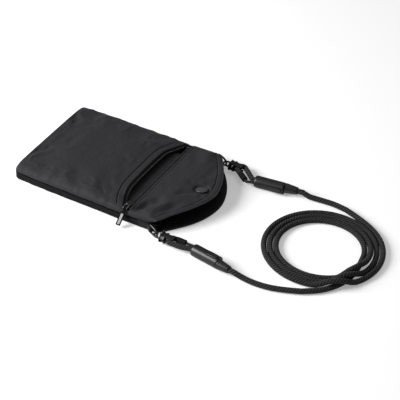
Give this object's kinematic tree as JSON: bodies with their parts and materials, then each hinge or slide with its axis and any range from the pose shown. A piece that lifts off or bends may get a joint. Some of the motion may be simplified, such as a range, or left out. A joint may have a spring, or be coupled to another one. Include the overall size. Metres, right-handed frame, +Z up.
{
  "type": "phone neck pouch",
  "caption": "Soft black pouch for a phone, with a flap, an open zip pocket on its front, and a cord neck strap with clip hooks and length adjusters, coiled beside it",
  "frame": {"origin": "middle of the flat back panel, on the face that the pouch lies on", "axes": "+X across the pouch toward the side where the zip puller hangs, +Y from the closed bottom to the mouth and on to the strap, +Z up, out of the front"},
  "size_m": [0.1454, 0.369, 0.0184],
  "materials": {
    "cloth": "matt woven nylon",
    "lining": "matt plain-weave lining",
    "webbing": "dull woven tape",
    "zip_teeth": "moulded, dull",
    "slider_metal": "brushed and bright, with darker edges",
    "hardware_metal": "dark gunmetal plating",
    "gloss_black": "glossy enamel",
    "adjuster_plastic": "satin moulded plastic",
    "cord": "braided"
  },
  "bodies": {
    "pouch_body": {"adjuster_body_far": "adjuster_plastic", "adjuster_body_near": "adjuster_plastic", "adjuster_nose_far": "adjuster_plastic", "adjuster_nose_near": "adjuster_plastic", "back_lining": "lining", "back_panel": "cloth", "cord_loop_far": "cord", "cord_loop_near": "cord", "divider_panel": "lining", "end_sleeve_far": "webbing", "end_sleeve_near": "webbing", "gusset_bottom": "cloth", "gusset_far": "cloth", "gusset_near": "cloth", "hook_body_far": "hardware_metal", "hook_body_near": "hardware_metal", "loop_pin_far": "hardware_metal", "loop_pin_near": "hardware_metal", "pocket_facing": "lining", "pocket_panel": "cloth", "snap_stud": "hardware_metal", "strap_coil": "cord", "strap_lead_far": "cord", "strap_lead_near": "cord", "tab_far": "webbing", "tab_near": "webbing", "tail_cord_far": "cord", "tail_cord_near": "cord", "upper_front_panel": "cloth", "zip_facing": "lining", "zipper_stop_far": "hardware_metal", "zipper_stop_near": "hardware_metal", "zipper_tape_back": "webbing", "zipper_tape_front": "webbing", "zipper_teeth_back": "zip_teeth", "zipper_teeth_front": "zip_teeth"},
    "front_flap": {"flap_panel": "cloth", "flap_lining": "lining", "snap_cap": "gloss_black", "snap_socket": "hardware_metal"},
    "zip_slider": {"zipper_slider": "slider_metal"},
    "puller_link_body": {"puller_link": "slider_metal"},
    "puller_plate_body": {"puller_plate": "slider_metal"},
    "ring_near": {"d_ring_near": "hardware_metal"},
    "ring_far": {"d_ring_far": "hardware_metal"},
    "bolt_near": {"hook_bolt_near": "hardware_metal"},
    "bolt_far": {"hook_bolt_far": "hardware_metal"},
    "lock_near": {"lock_button_near": "adjuster_plastic"},
    "lock_far": {"lock_button_far": "adjuster_plastic"}
  },
  "joints": [
    {"name": "flap_hinge", "type": "hinge", "parent": "pouch_body", "child": "front_flap", "pos_m": [0, 0.07025, 0.01635], "axis": [1, 0, 0], "range_deg": [-22, 75], "stiffness_Nm_per_rad": 0.002},
    {"name": "zip_travel", "type": "slide", "parent": "pouch_body", "child": "zip_slider", "axis": [-1, 0, 0], "range_m": [0, 0.0985]},
    {"name": "puller_link_turn", "type": "hinge", "parent": "zip_slider", "child": "puller_link_body", "pos_m": [0.054, 0.03075, 0.0163], "axis": [0, -1, 0], "range_deg": [0, 193]},
    {"name": "puller_plate_turn", "type": "hinge", "parent": "puller_link_body", "child": "puller_plate_body", "pos_m": [0.05987, 0.03075, 0.01505], "axis": [0, -1, 0], "range_deg": [0, 42]},
    {"name": "ring_swing_near", "type": "hinge", "parent": "pouch_body", "child": "ring_near", "pos_m": [0.0635, 0.06175, 0.006], "axis": [0, 0, 1], "range_deg": [-5, 5]},
    {"name": "ring_swing_far", "type": "hinge", "parent": "pouch_body", "child": "ring_far", "pos_m": [-0.0635, 0.06175, 0.006], "axis": [0, 0, 1], "range_deg": [-5, 5]},
    {"name": "bolt_slide_near", "type": "slide", "parent": "pouch_body", "child": "bolt_near", "axis": [0, 1, 0], "range_m": [0, 0.0026], "stiffness_N_per_m": 200},
    {"name": "bolt_slide_far", "type": "slide", "parent": "pouch_body", "child": "bolt_far", "axis": [0, 1, 0], "range_m": [0, 0.0026], "stiffness_N_per_m": 200},
    {"name": "lock_press_near", "type": "slide", "parent": "pouch_body", "child": "lock_near", "axis": [0, 0, -1], "range_m": [0, 0.001], "stiffness_N_per_m": 400},
    {"name": "lock_press_far", "type": "slide", "parent": "pouch_body", "child": "lock_far", "axis": [-0.991, -0.134, 0], "range_m": [0, 0.001], "stiffness_N_per_m": 400}
  ],
  "couplings": [
    {"joint": "puller_link_turn", "follows": "zip_travel", "rad_per_m": 34.164},
    {"joint": "puller_plate_turn", "follows": "zip_travel", "rad_per_m": 7.4346}
  ]
}
